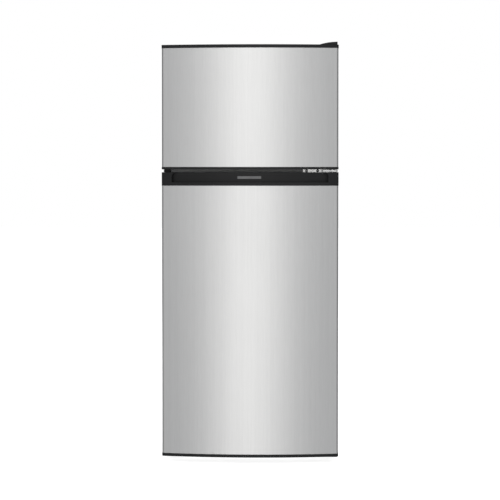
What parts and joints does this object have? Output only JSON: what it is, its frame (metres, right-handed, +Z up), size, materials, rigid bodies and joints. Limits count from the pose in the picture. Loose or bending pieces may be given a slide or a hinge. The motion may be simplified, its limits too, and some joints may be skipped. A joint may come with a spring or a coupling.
{
  "type": "top freezer refrigerator",
  "caption": "Two-door refrigerator with a top freezer: bowed brushed-steel doors, recessed handle, shelves, door bins, crisper, compressor and rear condenser.",
  "frame": {"origin": "centre of the bounding box on the floor plane, with both doors closed", "axes": "+Z up, doors face -Y, hinges on the +X side"},
  "size_m": [0.6, 0.6562, 1.4274],
  "materials": {
    "case_paint": "satin",
    "galvanised": "satin",
    "rail_paint": "satin",
    "stainless": "satin",
    "zinc": "satin",
    "black_steel": "satin",
    "black_plastic": "satin",
    "liner_white": "satin",
    "white_plastic": "satin",
    "white_wire": "gloss",
    "clear_plastic": "gloss",
    "shelf_glass": "gloss",
    "foam": "matte",
    "gasket": "matte",
    "black_rubber": "matte",
    "copper": "satin",
    "aluminium": "satin",
    "lamp_glass": "satin",
    "plate_metal": "satin"
  },
  "bodies": {
    "cabinet": {"outer_case": "case_paint", "back_panel": "galvanised", "bottom_pan": "galvanised", "cabinet_foam": "foam", "fridge_liner": "liner_white", "freezer_liner": "liner_white", "center_rail": "rail_paint", "base_frame": "galvanised", "compressor_tray": "galvanised", "compressor": "black_steel", "compressor_grommets": "black_rubber", "terminal_cover": "black_plastic", "drain_pan": "black_plastic", "drain_tube": "white_plastic", "condenser_tube": "black_steel", "condenser_wires": "black_steel", "discharge_line": "copper", "suction_line": "copper", "power_gland": "black_plastic", "evaporator_coil": "aluminium", "evaporator_cover": "white_plastic", "fan_motor": "galvanised", "defrost_heater": "aluminium", "air_duct": "white_plastic", "control_housing": "white_plastic", "light_cover": "clear_plastic", "lamp": "lamp_glass", "glass_shelves": "shelf_glass", "shelf_frames": "white_plastic", "crisper_cover": "clear_plastic", "freezer_shelf": "white_wire", "top_hinge": "zinc", "top_hinge_cover": "black_plastic", "middle_hinge": "zinc", "lower_hinge": "black_steel", "hinge_screws": "black_steel", "left_hinge_cover": "black_plastic"},
    "freezer_door": {"freezer_door_skin": "stainless", "freezer_door_foam": "foam", "freezer_door_liner": "liner_white", "freezer_door_gasket": "gasket", "freezer_door_top_cap": "black_plastic", "freezer_door_bottom_cap": "black_plastic", "freezer_door_bins": "clear_plastic"},
    "fridge_door": {"fridge_door_skin": "stainless", "fridge_door_foam": "foam", "fridge_door_liner": "liner_white", "fridge_door_gasket": "gasket", "handle_cap": "black_plastic", "fridge_door_bottom_cap": "black_plastic", "fridge_door_bins": "clear_plastic", "badge_plate": "plate_metal"},
    "crisper": {"crisper_drawer": "clear_plastic"},
    "thermostat_knob": {"temperature_knob": "white_plastic"},
    "airflow_control": {"airflow_slider": "black_plastic"},
    "fan": {"evaporator_fan": "white_plastic"},
    "left_foot": {"foot_left": "black_plastic"},
    "right_foot": {"foot_right": "black_plastic"},
    "left_roller": {"roller_left": "black_plastic"},
    "right_roller": {"roller_right": "black_plastic"}
  },
  "joints": [
    {"name": "freezer_door_hinge", "type": "hinge", "parent": "cabinet", "child": "freezer_door", "pos_m": [0.279, -0.2751, 1.2], "axis": [0, 0, 1], "range_deg": [0, 130]},
    {"name": "fridge_door_hinge", "type": "hinge", "parent": "cabinet", "child": "fridge_door", "pos_m": [0.279, -0.2751, 0.5], "axis": [0, 0, 1], "range_deg": [0, 130]},
    {"name": "crisper_slide", "type": "slide", "parent": "cabinet", "child": "crisper", "axis": [0, -1, 0], "range_m": [0, 0.04]},
    {"name": "temperature_knob_turn", "type": "hinge", "parent": "cabinet", "child": "thermostat_knob", "pos_m": [0.05, -0.1401, 0.927], "axis": [0, 1, 0], "range_deg": [0, 270]},
    {"name": "airflow_slide", "type": "slide", "parent": "cabinet", "child": "airflow_control", "axis": [1, 0, 0], "range_m": [0, 0.044]},
    {"name": "fan_spin", "type": "hinge", "parent": "cabinet", "child": "fan", "pos_m": [0, 0.1839, 1.294], "axis": [0, 1, 0], "continuous": true},
    {"name": "left_foot_height", "type": "slide", "parent": "cabinet", "child": "left_foot", "axis": [0, 0, -1], "range_m": [0, 0.012]},
    {"name": "right_foot_height", "type": "slide", "parent": "cabinet", "child": "right_foot", "axis": [0, 0, -1], "range_m": [0, 0.012]},
    {"name": "left_roller_spin", "type": "hinge", "parent": "cabinet", "child": "left_roller", "pos_m": [-0.27, 0.2649, 0.011], "axis": [1, 0, 0], "continuous": true},
    {"name": "right_roller_spin", "type": "hinge", "parent": "cabinet", "child": "right_roller", "pos_m": [0.27, 0.2649, 0.011], "axis": [1, 0, 0], "continuous": true}
  ]
}
